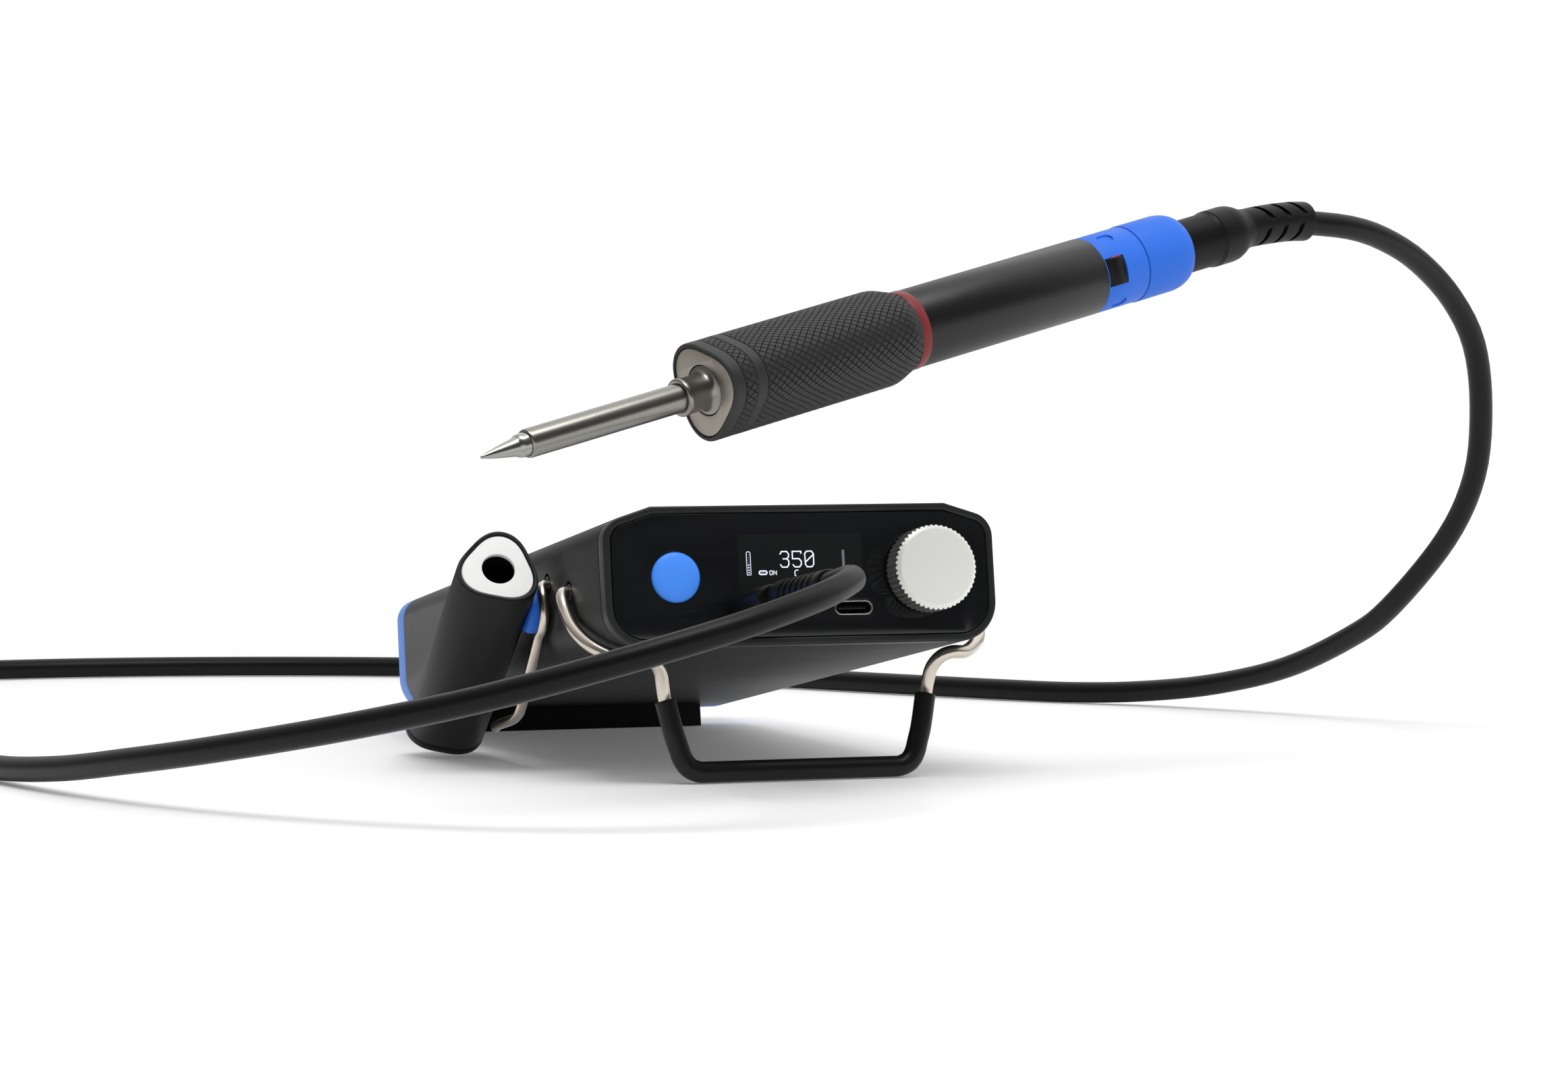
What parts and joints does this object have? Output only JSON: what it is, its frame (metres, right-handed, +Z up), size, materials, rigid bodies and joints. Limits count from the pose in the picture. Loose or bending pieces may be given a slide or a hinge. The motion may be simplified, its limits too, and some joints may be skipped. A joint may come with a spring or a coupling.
{
  "type": "soldering iron station",
  "caption": "Battery soldering station in a flat tilted box on a folding wire stand, with a pen-shaped iron on a cord and a tip cap on a side bracket",
  "frame": {"origin": "on the bench under the middle of the rear foot", "axes": "+Z up from the bench, -Y the way the front panel faces, +X to the right of a viewer facing the panel"},
  "size_m": [0.3836, 0.519, 0.1284],
  "materials": {
    "housing_shell": "fine textured anodised, black",
    "bezel_plastic": "satin black",
    "panel_gloss": "gloss black",
    "display_glass": "gloss dark grey",
    "board_green": "solder mask",
    "screw_steel": "plain",
    "button_blue": "satin bright blue",
    "component_black": "plain",
    "encoder_metal": "plain",
    "knob_metal": "turned face, knurled side",
    "port_steel": "plain",
    "capacitor_can": "plain",
    "cell_wrap": "plastic wrapped can",
    "holder_plastic": "plain",
    "nickel_strip": "plain",
    "frame_blue": "satin light blue",
    "rear_black": "satin black",
    "foot_rubber": "matt black",
    "bush_plastic": "black",
    "wire_steel": "bright drawn wire",
    "saddle_blue": "satin blue",
    "magnet": "plated",
    "cap_black": "satin black",
    "cap_white": "matt white",
    "tip_plating": "plated",
    "shank_steel": "satin",
    "contact_brass": "plain",
    "plate_alloy": "bead blasted, warm grey",
    "grip_rubber": "diamond knurled, matt black",
    "ring_red": "dark red",
    "tube_black": "satin black",
    "collar_blue": "satin blue",
    "latch_black": "satin black",
    "plug_black": "satin black",
    "cord_silicone": "satin black silicone"
  },
  "bodies": {
    "station_and_iron": {"housing": "housing_shell", "front_bezel": "bezel_plastic", "front_panel": "panel_gloss", "display_module": "display_glass", "control_board": "board_green", "power_board": "board_green", "iron_board": "board_green", "board_screws": "screw_steel", "rear_screws": "screw_steel", "button_switch": "component_black", "inductors": "component_black", "encoder_body": "encoder_metal", "usb_socket_left": "port_steel", "usb_socket_right": "port_steel", "iron_usb_socket": "port_steel", "capacitors": "capacitor_can", "battery_cell_1": "cell_wrap", "battery_cell_2": "cell_wrap", "battery_cell_3": "cell_wrap", "cell_holder_front": "holder_plastic", "cell_holder_rear": "holder_plastic", "cell_links": "nickel_strip", "rear_frame": "frame_blue", "rear_panel": "rear_black", "rear_foot": "foot_rubber", "stand_bushings": "bush_plastic", "bracket_bushing": "bush_plastic", "tip_sleeve": "shank_steel", "tip_socket": "contact_brass", "face_plate": "plate_alloy", "grip": "grip_rubber", "accent_ring": "ring_red", "handle_tube": "tube_black", "rear_collar": "collar_blue", "iron_plug": "plug_black", "iron_relief": "plug_black", "station_plug": "plug_black", "station_relief": "plug_black", "cord": "cord_silicone"},
    "button": {"power_button": "button_blue"},
    "encoder_hub": {"encoder_rotor": "encoder_metal"},
    "knob": {"knob": "knob_metal", "encoder_shaft": "encoder_metal"},
    "front_stand": {"wire_stand": "wire_steel", "stand_sleeve": "foot_rubber"},
    "side_bracket": {"bracket_wire": "wire_steel", "saddle": "saddle_blue", "saddle_magnet": "magnet"},
    "tip_cap": {"cap_shell": "cap_black", "cap_face": "cap_white", "cap_core": "cap_black", "cap_end": "cap_black"},
    "tip_cartridge": {"tip_cone": "tip_plating", "tip_shank": "shank_steel", "tip_plug": "contact_brass"},
    "collar_lock": {"lock_ring": "collar_blue"},
    "latch_tab": {"latch": "latch_black"}
  },
  "joints": [
    {"name": "button_press", "type": "slide", "parent": "station_and_iron", "child": "button", "axis": [0, 0.989, -0.1478], "range_m": [0, 0.0005], "stiffness_N_per_m": 1500, "springref_m": -0.0006},
    {"name": "knob_turn", "type": "hinge", "parent": "station_and_iron", "child": "encoder_hub", "pos_m": [0.0288, -0.16706, 0.0458], "axis": [0, 0.989, -0.1478], "continuous": true},
    {"name": "knob_press", "type": "slide", "parent": "encoder_hub", "child": "knob", "axis": [0, 0.989, -0.1478], "range_m": [0, 0.0005], "stiffness_N_per_m": 2500, "springref_m": -0.0006},
    {"name": "stand_fold", "type": "hinge", "parent": "station_and_iron", "child": "front_stand", "pos_m": [0, -0.13997, 0.04104], "axis": [1, 0, 0], "range_deg": [0, 88]},
    {"name": "bracket_fold", "type": "hinge", "parent": "station_and_iron", "child": "side_bracket", "pos_m": [-0.047, -0.12313, 0.04206], "axis": [1, 0, 0], "range_deg": [0, 25]},
    {"name": "cap_lift", "type": "slide", "parent": "side_bracket", "child": "tip_cap", "axis": [-0.0524, -0.8372, 0.5444], "range_m": [0, 0.03]},
    {"name": "tip_pull", "type": "slide", "parent": "station_and_iron", "child": "tip_cartridge", "axis": [-0.9233, -0.3089, -0.2284], "range_m": [0, 0.03]},
    {"name": "collar_twist", "type": "hinge", "parent": "station_and_iron", "child": "collar_lock", "pos_m": [0.08342, -0.17471, 0.11649], "axis": [0.9233, 0.3089, 0.2284], "range_deg": [0, 40]},
    {"name": "latch_press", "type": "slide", "parent": "station_and_iron", "child": "latch_tab", "axis": [-0.3014, 0.9511, -0.0679], "range_m": [0, 0.0008], "stiffness_N_per_m": 1500, "springref_m": -0.0006}
  ]
}
